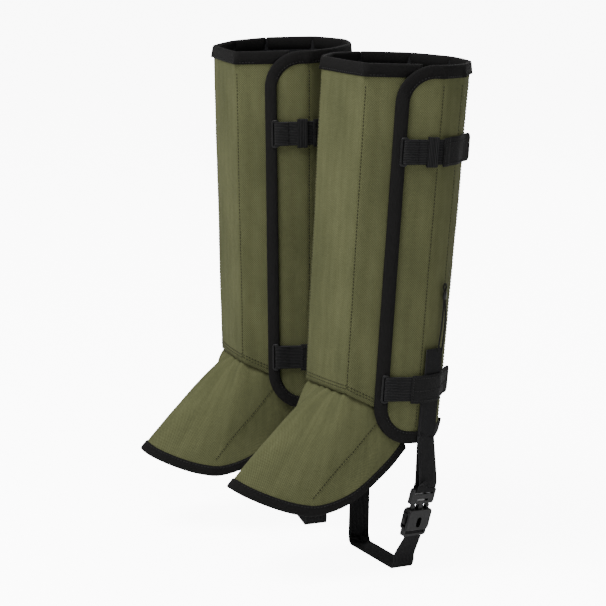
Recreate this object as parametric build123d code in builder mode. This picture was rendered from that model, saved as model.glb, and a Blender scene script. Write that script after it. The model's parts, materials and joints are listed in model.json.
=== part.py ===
from build123d import *
from math import cos, radians, sin
import os

os.makedirs("parts", exist_ok=True)

# A pair of tall gaiters, in millimetres. Each one is modelled upright in its own frame: toes point to -Y,
# the wearer's left is +X, +Z is up and the sole of the shoe is at z = 0. Both are the same hand, as worn.

# Leg tube: a many-sided section that narrows towards the ankle and leans back with the calf.
TOP = 508.0
FRONT_LOW = 186.0
BACK_LOW = 138.0
TAPER = 0.000192
LEAN = 0.0323
ANKLE_Z = 180.0
ANKLE_Y = 6.0
RADIUS = 73.5

# Wall layers, from the outside inwards.
FABRIC = 0.8
STAY = 1.6
LINING = 0.6
WALL = FABRIC + STAY + LINING
WEB_LIFT = 1.0
TAIL_LIFT = 2.6
CREASE_MARGIN = 2.5
STAY_MARGIN = 6.0
HINGE_GAP = 0.5

# Binding tape folded over the raw edges.
TAPE = 0.8
TAPE_WIDTH = 12.0
TAPE_HINGE_GAP = 2.2

# Flap over the front panel, closed by hook and loop.
FLAP_START = 31.0
FLAP_FOLD = 76.0
FRONT_END = 54.0
FLAP_RISE = 5.4
FLAP_CORNER = 26.0
FLAP_LOW_CORNER = 38.0
HOOK_THICK = 1.0

# Straps.
WEB = 24.0
WEB_THICK = 1.2
UPPER_Z = 426.0
LOWER_Z = 193.0
RING_HEIGHT = 30.0
RING_WIDTH = 11.0
RING_THICK = 2.2
RING_BAR = 2.4
STRAP_LIFT = 0.95
RING_LIFT = 2.3
KEEPER_WIDTH = 10.0
TAB_HEIGHT = 28.0
TAB_THICK = 1.4

# Stirrup with its side-release buckle.
TAIL_TOP = 232.0
SPLIT_Z = 130.0
BUCKLE_TOP = Vector(62.0, 33.0, 88.0)
BUCKLE_FOOT = Vector(54.0, 26.0, 36.0)
BUCKLE_FACES = 104.0
BUCKLE_WIDTH = 33.0
BUCKLE_THICK = 4.4
SHELL_WIDTH = 32.0
SHELL_THICK = 9.2
PRONG_X = 10.0
PRONG_ROOT = -17.6
SOLE_HALF = 44.0
SOLE_Y = 23.0
SOLE_THICK = 1.6
SOLE_Z = 0.8

# Instep cover.
COVER_THICK = 1.6
HEM_TAPE = 10.0

# Pair, as the feet stand.
HALF_STANCE = 80.0
HALF_STEP = 18.0
YAW = 7.0
LEAN_SPREAD = 2.2
PAIR_X = -0.95
PAIR_Y = 25.2
PAIR_Z = 1.21


def polar(angle, radius):
    """A point of the section, with the angle counted from the toes towards the wearer's left."""
    return Vector(radius * sin(radians(angle)), -radius * cos(radians(angle)))


def outward(start, end):
    """The horizontal unit normal that points away from the leg, for an edge of the section."""
    along = (end - start).normalized()
    return Vector(along.Y, -along.X)


# Corners of the section at the top edge, going round from the wearer's right by way of the toes.
MEDIAL = polar(-90, RADIUS)
SHIN_RIGHT = polar(-58, RADIUS + 1)
SHIN = polar(-25, RADIUS)
FRONT_FOLD = polar(37, RADIUS)
SIDE_AIM = polar(97, RADIUS - 3)
SIDE_ALONG = (SIDE_AIM - FRONT_FOLD).normalized()
SIDE_OUT = outward(FRONT_FOLD, SIDE_AIM)
FRONT_EDGE = FRONT_FOLD + SIDE_ALONG * FRONT_END
FLAP_EDGE = FRONT_FOLD + SIDE_ALONG * FLAP_START + SIDE_OUT * FLAP_RISE
FLAP_SIDE = FRONT_FOLD + SIDE_ALONG * FLAP_FOLD + SIDE_OUT * FLAP_RISE
FLAP_REAR = polar(119, RADIUS + 3)
REAR_HINGE = polar(150, RADIUS)
REAR = polar(187, RADIUS - 2)
REAR_RIGHT = polar(228, RADIUS - 1)

FRONT_PATH = [MEDIAL, SHIN_RIGHT, SHIN, FRONT_FOLD, FRONT_EDGE]
FLAP_PATH = [FLAP_EDGE, FLAP_SIDE, FLAP_REAR, REAR_HINGE]
BACK_PATH = [REAR_HINGE, REAR, REAR_RIGHT, MEDIAL]


def spot(point, z):
    """A point of the section carried to height z, where the tube is narrower and further forward."""
    scale = 1 - TAPER * (TOP - z)
    return Vector(point.X * scale, point.Y * scale + ANKLE_Y + LEAN * (z - ANKLE_Z), z)


def facet(start, end, along, z):
    """A plane on the wall's outer face: x runs round the leg, y up and z outwards."""
    here = start + (end - start).normalized() * along
    origin = spot(here, z)
    across = spot(end, z) - spot(start, z)
    rise = spot(here, z + 1) - origin
    return Plane(origin=origin, x_dir=across, z_dir=across.cross(rise))


def offset_path(path, depth, before=None, after=None):
    """The path moved inwards by depth with mitred corners, each end mitred to a neighbour if it has one."""
    points = []
    for i, point in enumerate(path):
        ahead = path[i + 1] if i + 1 < len(path) else after
        behind = path[i - 1] if i else before
        normals = []
        if behind is not None:
            normals.append(outward(behind, point))
        if ahead is not None:
            normals.append(outward(point, ahead))
        middle = normals[0] + normals[-1]
        points.append(point - middle * (2 * depth / middle.dot(middle)))
    return points


def between(path, outer, inner, before=None, after=None):
    """The closed outline of a layer, from its outer depth to its inner depth."""
    return offset_path(path, outer, before, after) + offset_path(path, inner, before, after)[::-1]


def trimmed(path, start=0.0, end=0.0):
    """The path with its two ends moved in along their edges."""
    first = path[0] + (path[1] - path[0]).normalized() * start
    last = path[-1] + (path[-2] - path[-1]).normalized() * end
    return [first, *path[1:-1], last]


def wall(outline, low, high):
    """A planar-sided wall that fills an outline between two heights."""
    with BuildPart() as piece:
        for z in (low, high):
            with BuildSketch(Plane.XY.offset(z)):
                with BuildLine():
                    Polyline([tuple(spot(point, z))[:2] for point in outline], close=True)
                make_face()
        loft(ruled=True)
    return piece.part


def ribbon(stations, thick):
    """A flat band through stations, each a plane (x across the band, z along it) with the band's width."""
    with BuildPart() as piece:
        for plane, width in stations:
            with BuildSketch(plane):
                Rectangle(width, thick)
        loft(ruled=True)
    return piece.part


def corner_edges(part, point, low, high, depth):
    """The two short edges through the wall at the free end of the flap, at its bottom and its top."""
    edges = []
    inner = point - outward(FLAP_EDGE, FLAP_SIDE) * depth
    for z in (low, high):
        middle = (spot(point, z) + spot(inner, z)) * 0.5
        edges.append(part.edges().sort_by_distance(middle)[0])
    return edges


def round_corners(part, point, low, high, depth, grown=0.0):
    """The part with the flap's bottom and top corners rounded, each radius grown by grown."""
    bottom, top = corner_edges(part, point, low, high, depth)
    with BuildPart() as piece:
        add(part)
        fillet(piece.edges().sort_by_distance(bottom.center())[0], FLAP_LOW_CORNER + grown)
        fillet(piece.edges().sort_by_distance(top.center())[0], FLAP_CORNER + grown)
    return piece.part


def flap_layer(outer, inner, low, high, start, grown=0.0, end=HINGE_GAP):
    """A layer of the flap with its two free corners rounded."""
    path = trimmed(FLAP_PATH, start, end)
    free = offset_path(path, outer, after=REAR)[0]
    layer = wall(between(path, outer, inner, after=REAR), low, high)
    return round_corners(layer, free, low, high, inner - outer, grown)


def stays(path, low, high):
    """One stiff plate for each face of the path, inset from the creases."""
    with BuildPart() as piece:
        for start, end in zip(path, path[1:]):
            plate = trimmed([start, end], CREASE_MARGIN, CREASE_MARGIN)
            add(wall(between(plate, FABRIC, FABRIC + STAY), low, high))
    return piece.part


PIECES = {}


def keep(name, part):
    """Files a finished piece under its name, to be placed once for each leg."""
    PIECES[name] = part


# Front panel: its hidden end lies under the flap.
FRONT_TRIMMED = trimmed(FRONT_PATH, HINGE_GAP, 0)
keep("front_cover", wall(between(FRONT_TRIMMED, 0, FABRIC, before=REAR_RIGHT), FRONT_LOW, TOP))
keep("front_lining", wall(between(FRONT_TRIMMED, WALL - LINING, WALL, before=REAR_RIGHT), FRONT_LOW, TOP))
keep("front_stays", stays(FRONT_PATH, FRONT_LOW + STAY_MARGIN, TOP - STAY_MARGIN))

with BuildPart() as front_binding:
    taped = trimmed(FRONT_PATH, TAPE_HINGE_GAP, 0)
    add(wall(between(taped, -TAPE, WALL + TAPE, before=REAR_RIGHT), TOP - TAPE_WIDTH, TOP + TAPE))
    add(wall(between(taped, 0, WALL, before=REAR_RIGHT), TOP - 2 * TAPE_WIDTH, TOP), mode=Mode.SUBTRACT)
keep("front_binding", front_binding.part)

# The hook strip under the flap, on the outer face of the front panel.
HOOK_START = 36.0
HOOK_END = FRONT_END - 1.0
HOOK_LOW = FRONT_LOW + 12.0
CLOSURE_TOP = TOP - 20.0
HOOK_PATH = [FRONT_FOLD + SIDE_ALONG * HOOK_START, FRONT_FOLD + SIDE_ALONG * HOOK_END]
keep("hook_strip", wall(between(HOOK_PATH, -HOOK_THICK, 0), HOOK_LOW, CLOSURE_TOP))

# Back panel, with the binding at its top and bottom edges.
BACK_TRIMMED = trimmed(BACK_PATH, HINGE_GAP, HINGE_GAP)


def back_layer(outer, inner, low, high, path=BACK_TRIMMED):
    return wall(between(path, outer, inner, before=FLAP_REAR, after=SHIN_RIGHT), low, high)


keep("back_cover", back_layer(0, FABRIC, BACK_LOW, TOP))
keep("back_lining", back_layer(WALL - LINING, WALL, BACK_LOW, TOP))
keep("back_stays", stays(BACK_PATH, BACK_LOW + STAY_MARGIN, TOP - STAY_MARGIN))

with BuildPart() as back_binding:
    taped = trimmed(BACK_PATH, TAPE_HINGE_GAP, TAPE_HINGE_GAP)
    add(back_layer(-TAPE, WALL + TAPE, TOP - TAPE_WIDTH, TOP + TAPE, taped))
    add(back_layer(-TAPE, WALL + TAPE, BACK_LOW - TAPE, BACK_LOW + TAPE_WIDTH, taped))
    add(back_layer(0, WALL, BACK_LOW, TOP, taped), mode=Mode.SUBTRACT)
keep("back_binding", back_binding.part)

# Flap.
keep("flap_cover", flap_layer(0, FABRIC, BACK_LOW, TOP, 0))
keep("flap_lining", flap_layer(WALL - LINING, WALL, BACK_LOW, TOP, 0))
keep("flap_stays", stays(trimmed(FLAP_PATH, TAPE_WIDTH, 0), BACK_LOW + 2 * STAY_MARGIN, TOP - 2 * STAY_MARGIN))

CUT_MARGIN = 5.0
window = trimmed(FLAP_PATH, TAPE_WIDTH, -CUT_MARGIN)
window_low = BACK_LOW + TAPE_WIDTH
window_high = TOP - TAPE_WIDTH
opening = round_corners(
    wall(between(window, -CUT_MARGIN, WALL + CUT_MARGIN), window_low, window_high),
    offset_path(window, -CUT_MARGIN)[0],
    window_low,
    window_high,
    WALL + 2 * CUT_MARGIN,
    -TAPE_WIDTH,
)

with BuildPart() as flap_binding:
    outer_tape = (-TAPE, WALL + TAPE, BACK_LOW - TAPE, TOP + TAPE)
    add(flap_layer(*outer_tape, start=-TAPE, grown=TAPE, end=TAPE_HINGE_GAP))
    add(flap_layer(0, WALL, BACK_LOW, TOP, 0), mode=Mode.SUBTRACT)
    add(opening, mode=Mode.SUBTRACT)
keep("flap_binding", flap_binding.part)

# The loop strip on the flap's inner face.
PILE_START = 14.0
PILE_END = 30.0
PILE_LOW = FRONT_LOW - 2.0
PILE_PATH = [FLAP_EDGE + SIDE_ALONG * PILE_START, FLAP_EDGE + SIDE_ALONG * PILE_END]
keep("loop_strip", wall(between(PILE_PATH, WALL, WALL + HOOK_THICK), PILE_LOW, CLOSURE_TOP))

SIDE_LENGTH = FLAP_FOLD - FLAP_START

# Straps across the flap. The webbing folds round the rear bar of a ring at the flap's edge.


def strap_ring(z, start):
    """A rectangular plastic ring that lies on the flap, its first bar at the flap's edge."""
    place = facet(FLAP_EDGE, FLAP_SIDE, start + RING_WIDTH / 2, z)
    with BuildPart() as ring:
        with BuildSketch(place.offset(RING_LIFT)):
            RectangleRounded(RING_WIDTH, RING_HEIGHT, 2)
            Rectangle(RING_WIDTH - 2 * RING_BAR, RING_HEIGHT - 2 * RING_BAR, mode=Mode.SUBTRACT)
        extrude(amount=RING_THICK)
        fillet(ring.faces().sort_by(Axis(place.origin, place.z_dir))[-1].edges(), 0.5)
    return ring.part


def strap_webbing(z, start, length):
    """Ribbed webbing: a short tail against the flap, a fold round the ring's bar and the pull back over it."""
    place = facet(FLAP_EDGE, FLAP_SIDE, start, z)
    profile = Plane(origin=place.origin, x_dir=place.x_dir, z_dir=-place.y_dir)
    low = STRAP_LIFT
    high = RING_LIFT + RING_THICK + 0.2
    fold = -(RING_BAR + 0.3)
    settle = 12.0
    with BuildPart() as web:
        with BuildSketch(profile):
            with BuildLine():
                Polyline(
                    (length, low),
                    (fold, low),
                    (fold - WEB_THICK, low + WEB_THICK),
                    (fold - WEB_THICK, high),
                    (fold, high + WEB_THICK),
                    (1, high + WEB_THICK),
                    (settle, low + 2 * WEB_THICK + 0.1),
                    (length, low + 2 * WEB_THICK + 0.1),
                    (length, low + WEB_THICK + 0.1),
                    (settle, low + WEB_THICK + 0.1),
                    (1, high),
                    (fold, high),
                    (fold, low + WEB_THICK),
                    (length, low + WEB_THICK),
                    close=True,
                )
            make_face()
        extrude(amount=WEB / 2, both=True)
    return web.part


def strap_keeper(z, start):
    """A flat loop that holds the webbing down."""
    place = facet(FLAP_EDGE, FLAP_SIDE, start, z)
    across = Plane(origin=place.origin, x_dir=place.y_dir, z_dir=place.x_dir)
    inner = STRAP_LIFT - 0.1
    outer = STRAP_LIFT + 2 * WEB_THICK + 0.3
    with BuildPart() as loop:
        with BuildSketch(across):
            with Locations((0, (outer + TAPE) / 2)):
                Rectangle(TAB_HEIGHT + 1, outer + TAPE)
            with Locations((0, (inner + outer) / 2)):
                Rectangle(WEB + 0.6, outer - inner, mode=Mode.SUBTRACT)
        extrude(amount=KEEPER_WIDTH)
    return loop.part


def strap_tab(z, start, lift, end):
    """The wide hook-and-loop tab, bent round the rear fold of the flap."""
    last = REAR_HINGE + (FLAP_REAR - REAR_HINGE).normalized() * end
    if start < SIDE_LENGTH:
        path = [FLAP_EDGE + SIDE_ALONG * start, FLAP_SIDE, FLAP_REAR, last]
    else:
        path = [FLAP_SIDE + (FLAP_REAR - FLAP_SIDE).normalized() * (start - SIDE_LENGTH), FLAP_REAR, last]
    return wall(between(path, -(lift + TAB_THICK), -lift), z - TAB_HEIGHT / 2, z + TAB_HEIGHT / 2)


UPPER_TAB_START = SIDE_LENGTH + 2.5
LOWER_TAB_START = 36.0
keep("upper_ring", strap_ring(UPPER_Z, 3.0))
keep("lower_ring", strap_ring(LOWER_Z, 1.5))
keep("upper_strap", strap_webbing(UPPER_Z, 3.0 + RING_WIDTH, SIDE_LENGTH - RING_WIDTH - 4.0))
keep("lower_strap", strap_webbing(LOWER_Z, 1.5 + RING_WIDTH, LOWER_TAB_START - RING_WIDTH - 4.0))
keep("upper_keeper", strap_keeper(UPPER_Z, SIDE_LENGTH - KEEPER_WIDTH - 2.0))
UPPER_LIFT = 0.6
LOWER_LIFT = TAIL_LIFT + WEB_THICK + 0.4
keep("upper_tab", strap_tab(UPPER_Z, UPPER_TAB_START, UPPER_LIFT, 7.0))
keep("lower_tab", strap_tab(LOWER_Z, LOWER_TAB_START, LOWER_LIFT, 7.0))

# Stirrup webbing on the flap: the load layer is sewn to the flap and the tail lies over it.
WEB_ALONG = (FLAP_REAR - FLAP_SIDE).length / 2
HINGE_LINE = (spot(REAR_HINGE, TOP) - spot(REAR_HINGE, BACK_LOW)).normalized()


def web_station(z, lift):
    """A cross-section of the stirrup webbing over the flap's rear face."""
    place = facet(FLAP_SIDE, FLAP_REAR, WEB_ALONG, z)
    return Plane(origin=place.origin + place.z_dir * lift, x_dir=place.x_dir, z_dir=-place.y_dir)


def split_station(lift, drop):
    """The webbing's cross-section where the hinged part ends, square to the hinge line."""
    place = web_station(SPLIT_Z, lift)
    return Plane(origin=place.origin - HINGE_LINE * drop, x_dir=place.x_dir, z_dir=-HINGE_LINE)


LOAD_MID = WEB_LIFT + WEB_THICK / 2
TAIL_MID = TAIL_LIFT + WEB_THICK / 2
with BuildPart() as stirrup_webbing:
    for lift, high in ((LOAD_MID, LOWER_Z + 4), (TAIL_MID, TAIL_TOP)):
        add(ribbon([(web_station(high, lift), WEB), (split_station(lift, 0), WEB)], WEB_THICK))
keep("stirrup_webbing", stirrup_webbing.part)

# Side-release buckle in its own plane: x runs backwards across it, y up and z outwards.
BUCKLE_UP = (BUCKLE_TOP - BUCKLE_FOOT).normalized()
FACING = Vector(sin(radians(BUCKLE_FACES)), -cos(radians(BUCKLE_FACES)), 0)
BUCKLE_OUT = FACING - BUCKLE_UP * FACING.dot(BUCKLE_UP)
BUCKLE = Plane(origin=BUCKLE_TOP, x_dir=BUCKLE_UP.cross(FACING), z_dir=BUCKLE_OUT)
BUCKLE_SIDE = Plane(origin=BUCKLE_TOP, x_dir=BUCKLE.y_dir, z_dir=BUCKLE.x_dir)

with BuildPart() as buckle_clip:
    with BuildSketch(BUCKLE):
        with Locations((0, -8.5)):
            RectangleRounded(BUCKLE_WIDTH, 17, 3)
        with Locations((0, -24)):
            RectangleRounded(6.4, 18, 1.5)
        with Locations((0, -4.5)):
            Rectangle(WEB + 2, 3.8, mode=Mode.SUBTRACT)
        with Locations((0, -12.5)):
            Rectangle(15, 2.4, mode=Mode.SUBTRACT)
    extrude(amount=BUCKLE_THICK / 2, both=True)
    fillet(buckle_clip.faces().sort_by(Axis(BUCKLE.origin, BUCKLE.z_dir))[-1].outer_wire().edges(), 0.6)
keep("buckle_clip", buckle_clip.part)


def prong(side):
    """One springy arm with the ear that is pressed to let go."""
    with BuildPart() as arm:
        with BuildSketch(BUCKLE):
            with Locations((side * PRONG_X, PRONG_ROOT - 10)):
                Rectangle(4, 20)
            with Locations((side * 12.8, -33)):
                Ellipse(5.6, 6.8)
        extrude(amount=1.8, both=True)
    return arm.part


keep("front_prong", prong(-1))
keep("rear_prong", prong(1))

with BuildPart() as buckle_shell:
    with BuildSketch(BUCKLE):
        with Locations((0, -33.5)):
            RectangleRounded(SHELL_WIDTH, 23, 4)
    extrude(amount=SHELL_THICK / 2, both=True)
    fillet(buckle_shell.faces().sort_by(Axis(BUCKLE.origin, BUCKLE.z_dir))[-1].edges(), 1.2)
    with BuildSketch(BUCKLE):
        with Locations((0, -45.5)):
            RectangleRounded(SHELL_WIDTH, 12, 3)
    extrude(amount=BUCKLE_THICK / 2, both=True)
    with BuildSketch(BUCKLE):
        with Locations((0, -31.5)):
            Rectangle(26.4, 21.2)
        with Locations((0, -33.5)):
            Rectangle(SHELL_WIDTH + 10, 16)
        with Locations((0, -47.2)):
            Rectangle(WEB + 2, 3.4)
    extrude(amount=2.4, both=True, mode=Mode.SUBTRACT)
    with BuildSketch(BUCKLE):
        with Locations((0, -36)):
            RectangleRounded(6, 11, 2.9)
    extrude(amount=SHELL_THICK, mode=Mode.SUBTRACT)
keep("buckle_shell", buckle_shell.part)

# Webbing on the shoe: down from the flap, through the buckle's ladder, then under the sole to the other side.
FOLD_OUT = BUCKLE_THICK / 2 + 0.25


def bar_loop(near, far, bar_near, bar_far):
    """A fold of webbing round a buckle bar, open towards near."""
    outer = FOLD_OUT + WEB_THICK
    with BuildPart() as fold:
        with BuildSketch(BUCKLE_SIDE):
            with BuildLine():
                Polyline((near, -outer), (far, -outer), (far, outer), (near, outer), close=True)
            make_face()
            with BuildLine():
                Polyline(
                    (bar_near, -FOLD_OUT),
                    (bar_far, -FOLD_OUT),
                    (bar_far, FOLD_OUT),
                    (bar_near, FOLD_OUT),
                    close=True,
                )
            make_face(mode=Mode.SUBTRACT)
        extrude(amount=WEB / 2, both=True)
    return fold.part


def buckle_station(up, lift):
    """A cross-section of webbing in the buckle's plane, along its up direction."""
    origin = BUCKLE.origin + BUCKLE.y_dir * up + BUCKLE.z_dir * lift
    return Plane(origin=origin, x_dir=BUCKLE.x_dir, z_dir=-BUCKLE.y_dir)


def sole_station(x, y, z, turn):
    """A cross-section of the sole strap, its width fore and aft; turn is 0 going down and 90 across."""
    return Plane(origin=(x, y, z), x_dir=(0, 1, 0), z_dir=(-sin(radians(turn)), 0, -cos(radians(turn))))


MEDIAL_ALONG = 22.0


def medial_station(z):
    """A cross-section of the sole strap where it is sewn to the back panel."""
    place = facet(REAR_RIGHT, MEDIAL, MEDIAL_ALONG, z)
    origin = place.origin + place.z_dir * (WEB_LIFT + SOLE_THICK / 2)
    return Plane(origin=origin, x_dir=-place.x_dir, z_dir=place.y_dir)


# The strap's way round the shoe: its stop on the shell's bar, the bends at the sole and the stop at the ankle.
SHELL_BAR = -53.2
BEND = 4.0
SOLE_SIDE = SOLE_HALF + 1.0
SIDE_Z = 12.0
SIDE_TILT = 8.0
ANKLE_STOP = (-58.0, SOLE_Y + 6.0, 90.0)

with BuildPart() as sole_strap:
    add(bar_loop(7.0, -4.05, 7.0, -2.85))
    for lift, high in ((-FOLD_OUT - WEB_THICK / 2, LOAD_MID), (FOLD_OUT + WEB_THICK / 2, TAIL_MID)):
        add(ribbon([(split_station(high, HINGE_GAP), WEB), (buckle_station(7.0, lift), WEB)], WEB_THICK))
    add(bar_loop(-47.45, -53.9, -48.65, -51.75))
    stations = [buckle_station(SHELL_BAR, 0), sole_station(SOLE_SIDE, SOLE_Y, SIDE_Z, SIDE_TILT)]
    for turn in (15, 40, 65, 90):
        across = SOLE_HALF - BEND + BEND * cos(radians(turn))
        stations.append(sole_station(across, SOLE_Y, SOLE_Z + BEND - BEND * sin(radians(turn)), turn))
    for turn in (0, 25, 50, 75):
        across = BEND - SOLE_HALF - BEND * sin(radians(turn))
        stations.append(sole_station(across, SOLE_Y, SOLE_Z + BEND - BEND * cos(radians(turn)), 90 + turn))
    stations.append(sole_station(-SOLE_SIDE, SOLE_Y, SIDE_Z, 180 - SIDE_TILT))
    stations.append(sole_station(*ANKLE_STOP, 180 - SIDE_TILT))
    stations += [medial_station(BACK_LOW), medial_station(LOWER_Z)]
    add(ribbon([(station, WEB) for station in stations], SOLE_THICK))
keep("sole_strap", sole_strap.part)

# Pull loop of thin cord at the tail's end.
CORD = 1.8
LOOP_HALF = 2.2
LOOP_LOW = TAIL_TOP - 3.0
LOOP_HIGH = 294.0
LOOP_ALONG = WEB_ALONG + 9.0


def loop_plane(z):
    return facet(FLAP_SIDE, FLAP_REAR, LOOP_ALONG, z).offset(TAIL_LIFT + WEB_THICK + CORD / 2 + 0.2)


with BuildPart() as cord_loop:
    low_plane = loop_plane(LOOP_LOW)
    high_plane = loop_plane(LOOP_HIGH)
    run = (high_plane.origin - low_plane.origin).length
    flat = Plane(origin=low_plane.origin, x_dir=high_plane.origin - low_plane.origin, z_dir=low_plane.z_dir)
    with BuildLine(flat) as route:
        Line((0, LOOP_HALF), (run, LOOP_HALF))
        ThreePointArc((run, LOOP_HALF), (run + LOOP_HALF, 0), (run, -LOOP_HALF))
        Line((run, -LOOP_HALF), (0, -LOOP_HALF))
        ThreePointArc((0, -LOOP_HALF), (-LOOP_HALF, 0), (0, LOOP_HALF))
    with BuildSketch(Plane(origin=route.wire() @ 0, z_dir=route.wire() % 0)):
        Circle(CORD / 2)
    sweep(path=route.wire())
    with BuildSketch(Plane(origin=flat.origin + flat.x_dir * (run - 14), x_dir=flat.y_dir, z_dir=flat.x_dir)):
        RectangleRounded(2 * LOOP_HALF + CORD + 2, CORD + 1.4, 1.2)
        with Locations((LOOP_HALF, 0), (-LOOP_HALF, 0)):
            Circle(CORD / 2 + 0.02, mode=Mode.SUBTRACT)
    extrude(amount=8)
keep("cord_loop", cord_loop.part)

# Instep cover: a skirt from the front panel's lower edge to a hem over the shoe.
HALF_HEM = [
    (58, 12, 130),
    (57, -8, 108),
    (53, -42, 80),
    (47, -74, 68),
    (41, -96, 69),
    (31, -120, 76),
    (17, -143, 86),
]
HEM = [Vector(*p) for p in HALF_HEM] + [Vector(0, -153, 92)] + [Vector(-x, y, z) for x, y, z in HALF_HEM[::-1]]
SEAM_Z = FRONT_LOW - 1.8


def along_front(distance_left):
    """A point of the front panel's lower edge, counted from its front fold; negative goes to the right."""
    if distance_left >= 0:
        return FRONT_FOLD + SIDE_ALONG * distance_left
    width = (FRONT_FOLD - SHIN).length
    if -distance_left <= width:
        return FRONT_FOLD + (SHIN - FRONT_FOLD).normalized() * -distance_left
    side = (SHIN_RIGHT - SHIN).length
    left = -distance_left - width
    if left <= side:
        return SHIN + (SHIN_RIGHT - SHIN).normalized() * left
    return SHIN_RIGHT + (MEDIAL - SHIN_RIGHT).normalized() * (left - side)


SEAM_STOPS = [52, 38, 19, 0, -12, -22, -31, -39, -47, -56, -66, -78, -97, -115, -134]
SEAM_INSET = 0.975
SEAM = [spot(along_front(stop) * SEAM_INSET, SEAM_Z) for stop in SEAM_STOPS]


def cover_band(start, end, thick):
    """A band of the cover, from start to end millimetres measured up from the hem; None is the seam."""
    stations = []
    for i, (seam, hem) in enumerate(zip(SEAM, HEM)):
        up = (seam - hem).normalized()
        low = hem + up * start
        high = seam if end is None else hem + up * end
        before = (SEAM[max(i - 1, 0)] + HEM[max(i - 1, 0)]) * 0.5
        after = (SEAM[min(i + 1, len(SEAM) - 1)] + HEM[min(i + 1, len(HEM) - 1)]) * 0.5
        along = after - before
        along = along - up * along.dot(up)
        stations.append((Plane(origin=(low + high) * 0.5, x_dir=up, z_dir=along), (high - low).length))
    return ribbon(stations, thick)


keep("instep_cover", cover_band(HEM_TAPE, None, COVER_THICK))
keep("instep_binding", cover_band(0, HEM_TAPE, COVER_THICK + 2 * TAPE))


def stance(side):
    """Where one gaiter stands: side is 1 for the left leg and -1 for the right."""
    about_ankle = Pos(0, 0, ANKLE_Z) * Rot(-side * LEAN_SPREAD, 0, 0) * Pos(0, 0, -ANKLE_Z)
    foot = Pos(side * HALF_STANCE + PAIR_X, side * HALF_STEP + PAIR_Y, PAIR_Z) * Rot(0, 0, side * YAW)
    return foot * about_ankle


STANCES = {"left": stance(1), "right": stance(-1)}

for leg, place in STANCES.items():
    for name, part in PIECES.items():
        placed = part.moved(place)
        placed.label = f"{leg}_{name}"
        export_step(placed, f"parts/{placed.label}.step")
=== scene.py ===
import json
import math

import bpy
import numpy as np
from mathutils import Matrix, Vector, noise


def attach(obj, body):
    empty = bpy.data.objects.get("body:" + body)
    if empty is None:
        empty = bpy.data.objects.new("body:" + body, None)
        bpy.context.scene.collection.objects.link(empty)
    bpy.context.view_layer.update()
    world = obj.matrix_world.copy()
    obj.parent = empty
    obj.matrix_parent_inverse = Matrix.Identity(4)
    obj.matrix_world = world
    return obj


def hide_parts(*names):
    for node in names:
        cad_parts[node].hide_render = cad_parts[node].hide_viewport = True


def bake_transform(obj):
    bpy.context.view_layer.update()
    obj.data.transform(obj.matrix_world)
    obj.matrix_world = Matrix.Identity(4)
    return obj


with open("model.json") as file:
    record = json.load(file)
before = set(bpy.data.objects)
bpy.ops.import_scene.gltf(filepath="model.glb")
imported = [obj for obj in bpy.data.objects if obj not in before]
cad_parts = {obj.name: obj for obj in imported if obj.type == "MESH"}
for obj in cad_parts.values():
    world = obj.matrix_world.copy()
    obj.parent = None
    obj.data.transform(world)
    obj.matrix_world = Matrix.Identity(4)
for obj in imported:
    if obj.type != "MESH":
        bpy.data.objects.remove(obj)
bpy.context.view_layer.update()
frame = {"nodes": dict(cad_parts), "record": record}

# A pair of tall gaiters. Shapes are worked out in millimetres in each gaiter's own frame, the one that the
# CAD uses: toes point to -Y, the wearer's left is +X, +Z is up. Leg.mesh turns them into metres in the row
# frame.
MM = 0.001

# The driving dimensions of the CAD.
TOP = 508.0
FRONT_LOW = 186.0
BACK_LOW = 138.0
TAPER = 0.000192
LEAN = 0.0323
ANKLE_Z = 180.0
ANKLE_Y = 6.0
RADIUS = 73.5
WALL = 3.0
TAPE_WIDTH = 12.0
FLAP_START = 31.0
FLAP_FOLD = 76.0
FRONT_END = 54.0
FLAP_RISE = 5.4
FLAP_CORNER = 36.0
FLAP_LOW_CORNER = 38.0
WEB = 24.0
WEB_THICK = 1.2
UPPER_Z = 426.0
LOWER_Z = 193.0
RING_WIDTH = 11.0
RING_BAR = 2.4
STRAP_LIFT = 0.95
RING_LIFT = 2.3
RING_THICK = 2.2
TAB_HEIGHT = 28.0
TAIL_TOP = 232.0
BUCKLE_TOP = np.array((62.0, 33.0, 88.0))
BUCKLE_FOOT = np.array((54.0, 26.0, 36.0))
BUCKLE_FACES = 104.0
BUCKLE_THICK = 4.4
SOLE_HALF = 44.0
SOLE_Y = 23.0
SOLE_THICK = 1.6
SOLE_Z = 0.8
HEM_TAPE = 10.0
HALF_STANCE = 80.0
HALF_STEP = 18.0
YAW = 7.0
LEAN_SPREAD = 2.2
PAIR_OFFSET = (-0.95, 25.2, 1.21)

# What the look adds to the CAD.
CREASE = 0.55
EDGE_DROP = 13.0
HINGE_REACH = 5.0
HINGE_CLEAR = 1.1
STRAP_RIB = 1.6
UPPER_RING_AT = 3.0
LOWER_RING_AT = 1.5
UNDER_TAB = 6.0
STITCH_INSET = 2.0


def unit(v):
    v = np.asarray(v, float)
    return v / np.linalg.norm(v, axis=-1, keepdims=True)


def polar(angle, radius):
    """A point of the section, its angle counted from the toes towards the wearer's left."""
    return np.array((radius * math.sin(math.radians(angle)), -radius * math.cos(math.radians(angle))))


def outward(start, end):
    """The right-hand normals of steps in a plane."""
    along = unit(end - start)
    return np.stack((along[..., 1], -along[..., 0]), -1)


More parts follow.
